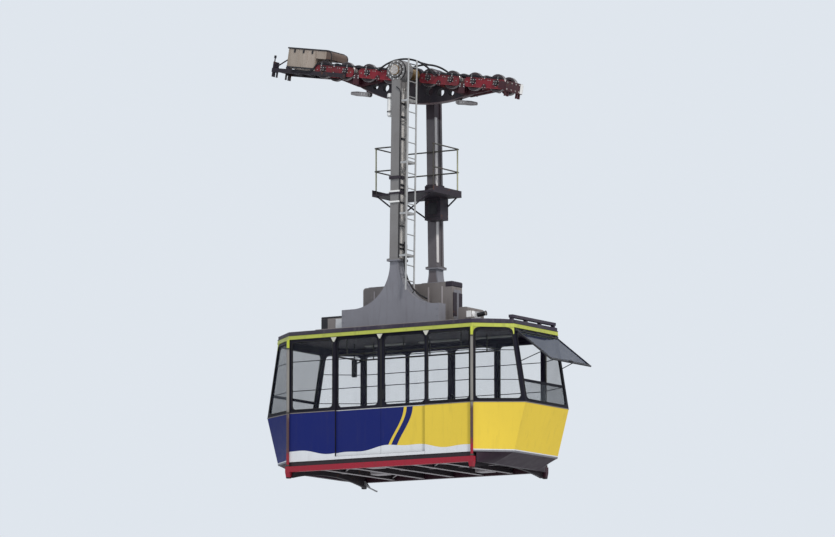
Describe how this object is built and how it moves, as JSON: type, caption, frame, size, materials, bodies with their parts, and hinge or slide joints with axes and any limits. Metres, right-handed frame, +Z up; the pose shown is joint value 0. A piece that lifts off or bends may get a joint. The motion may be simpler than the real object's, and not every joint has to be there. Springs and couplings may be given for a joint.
{
  "type": "aerial cable car with carriage, hanger and cabin",
  "caption": "Octagonal passenger cabin on a two-legged hanger under an eight-axle rope carriage, with sliding doors, ladder and service platform.",
  "frame": {"origin": "midway between the two track ropes, on their centre lines, under the middle of the carriage", "axes": "+X along the line and downhill as stored, the ropes falling 9 degrees towards it; +Y across the line; +Z up"},
  "size_m": [6.6661, 2.81, 8.7616],
  "materials": {
    "wheel_steel": "machined rims, dull webs",
    "carriage_red": "satin, weathered",
    "carriage_dark_red": "satin, weathered",
    "cast_steel": "galvanised",
    "carriage_dark": "satin",
    "bare_steel": "turned",
    "case_beige": "satin, weathered",
    "hanger_grey": "galvanised and painted, weathered",
    "base_grey": "satin",
    "roof_gear_grey": "satin",
    "galvanised": "galvanised",
    "platform_dark": "satin",
    "hose_rubber": "matte",
    "window_glass": "clear, lightly tinted",
    "window_frame": "satin",
    "yellow_paint": "gloss",
    "navy_paint": "gloss",
    "floor_plate": "chequered",
    "band_green": "gloss",
    "roof_dark": "satin",
    "underframe_grey": "satin",
    "belly_maroon": "satin",
    "rail_red": "gloss"
  },
  "bodies": {
    "carriage": {"main_beam": "carriage_dark", "hanger_axle": "bare_steel", "haul_socket_uphill": "cast_steel", "haul_socket_downhill": "cast_steel", "rocker_uphill": "carriage_dark_red", "rocker_downhill": "carriage_dark_red", "bogie_1": "carriage_red", "bogie_2": "carriage_red", "bogie_3": "carriage_red", "bogie_4": "carriage_red", "guard_hoops": "carriage_dark", "uphill_frame": "carriage_dark", "equipment_case": "case_beige", "downhill_guide": "carriage_dark"},
    "hanger_and_cabin": {"corner_near_downhill_wall": "yellow_paint", "corner_far_downhill_wall": "yellow_paint", "corner_far_uphill_wall": "navy_paint", "corner_near_uphill_wall": "navy_paint", "end_uphill_wall": "navy_paint", "end_downhill_wall": "yellow_paint", "vent_flap": "window_frame", "side_near_wall": "navy_paint", "side_far_wall": "navy_paint", "floor": "floor_plate", "eave_band": "band_green", "roof": "roof_dark", "underframe": "underframe_grey", "side_frame_near": "rail_red", "side_frame_far": "rail_red", "belly_uphill": "belly_maroon", "belly_downhill": "belly_maroon", "grab_rail": "bare_steel", "glazing": "window_glass", "hanger_leg_near": "hanger_grey", "hanger_leg_far": "hanger_grey", "hanger_base_near": "base_grey", "hanger_base_far": "base_grey", "roof_trunk": "roof_gear_grey", "roof_case_uphill": "roof_gear_grey", "roof_case_downhill": "roof_gear_grey", "ladder": "galvanised", "platform": "platform_dark", "platform_railing": "galvanised", "leg_hose": "hose_rubber"},
    "wheel_axle_1": {"wheelset_1": "wheel_steel"},
    "wheel_axle_2": {"wheelset_2": "wheel_steel"},
    "wheel_axle_3": {"wheelset_3": "wheel_steel"},
    "wheel_axle_4": {"wheelset_4": "wheel_steel"},
    "wheel_axle_5": {"wheelset_5": "wheel_steel"},
    "wheel_axle_6": {"wheelset_6": "wheel_steel"},
    "wheel_axle_7": {"wheelset_7": "wheel_steel"},
    "wheel_axle_8": {"wheelset_8": "wheel_steel"},
    "leaf_near_uphill": {"door_near_uphill": "navy_paint", "door_near_uphill_glass": "window_glass"},
    "leaf_near_downhill": {"door_near_downhill": "navy_paint", "door_near_downhill_glass": "window_glass"},
    "leaf_far_uphill": {"door_far_uphill": "navy_paint", "door_far_uphill_glass": "window_glass"},
    "leaf_far_downhill": {"door_far_downhill": "navy_paint", "door_far_downhill_glass": "window_glass"}
  },
  "joints": [
    {"name": "hanger_swing", "type": "hinge", "parent": "carriage", "child": "hanger_and_cabin", "pos_m": [0.03442, 0, 0.21729], "axis": [0, 1, 0], "range_deg": [-26, 44]},
    {"name": "wheel_1_spin", "type": "hinge", "parent": "carriage", "child": "wheel_axle_1", "pos_m": [-1.95788, 0, 0.48728], "axis": [0, 1, 0], "continuous": true},
    {"name": "wheel_2_spin", "type": "hinge", "parent": "carriage", "child": "wheel_axle_2", "pos_m": [-1.44428, 0, 0.40593], "axis": [0, 1, 0], "continuous": true},
    {"name": "wheel_3_spin", "type": "hinge", "parent": "carriage", "child": "wheel_axle_3", "pos_m": [-0.93068, 0, 0.32459], "axis": [0, 1, 0], "continuous": true},
    {"name": "wheel_4_spin", "type": "hinge", "parent": "carriage", "child": "wheel_axle_4", "pos_m": [-0.41708, 0, 0.24324], "axis": [0, 1, 0], "continuous": true},
    {"name": "wheel_5_spin", "type": "hinge", "parent": "carriage", "child": "wheel_axle_5", "pos_m": [0.47184, 0, 0.10245], "axis": [0, 1, 0], "continuous": true},
    {"name": "wheel_6_spin", "type": "hinge", "parent": "carriage", "child": "wheel_axle_6", "pos_m": [0.98543, 0, 0.0211], "axis": [0, 1, 0], "continuous": true},
    {"name": "wheel_7_spin", "type": "hinge", "parent": "carriage", "child": "wheel_axle_7", "pos_m": [1.49903, 0, -0.06024], "axis": [0, 1, 0], "continuous": true},
    {"name": "wheel_8_spin", "type": "hinge", "parent": "carriage", "child": "wheel_axle_8", "pos_m": [2.01263, 0, -0.14159], "axis": [0, 1, 0], "continuous": true},
    {"name": "door_near_uphill_slide", "type": "slide", "parent": "hanger_and_cabin", "child": "leaf_near_uphill", "axis": [-1, 0, 0], "range_m": [0, 0.95]},
    {"name": "door_near_downhill_slide", "type": "slide", "parent": "hanger_and_cabin", "child": "leaf_near_downhill", "axis": [1, 0, 0], "range_m": [0, 0.95]},
    {"name": "door_far_uphill_slide", "type": "slide", "parent": "hanger_and_cabin", "child": "leaf_far_uphill", "axis": [-1, 0, 0], "range_m": [0, 0.95]},
    {"name": "door_far_downhill_slide", "type": "slide", "parent": "hanger_and_cabin", "child": "leaf_far_downhill", "axis": [1, 0, 0], "range_m": [0, 0.95]}
  ],
  "couplings": [
    {"joint": "door_near_downhill_slide", "follows": "door_near_uphill_slide", "ratio": 1},
    {"joint": "door_far_downhill_slide", "follows": "door_far_uphill_slide", "ratio": 1}
  ]
}
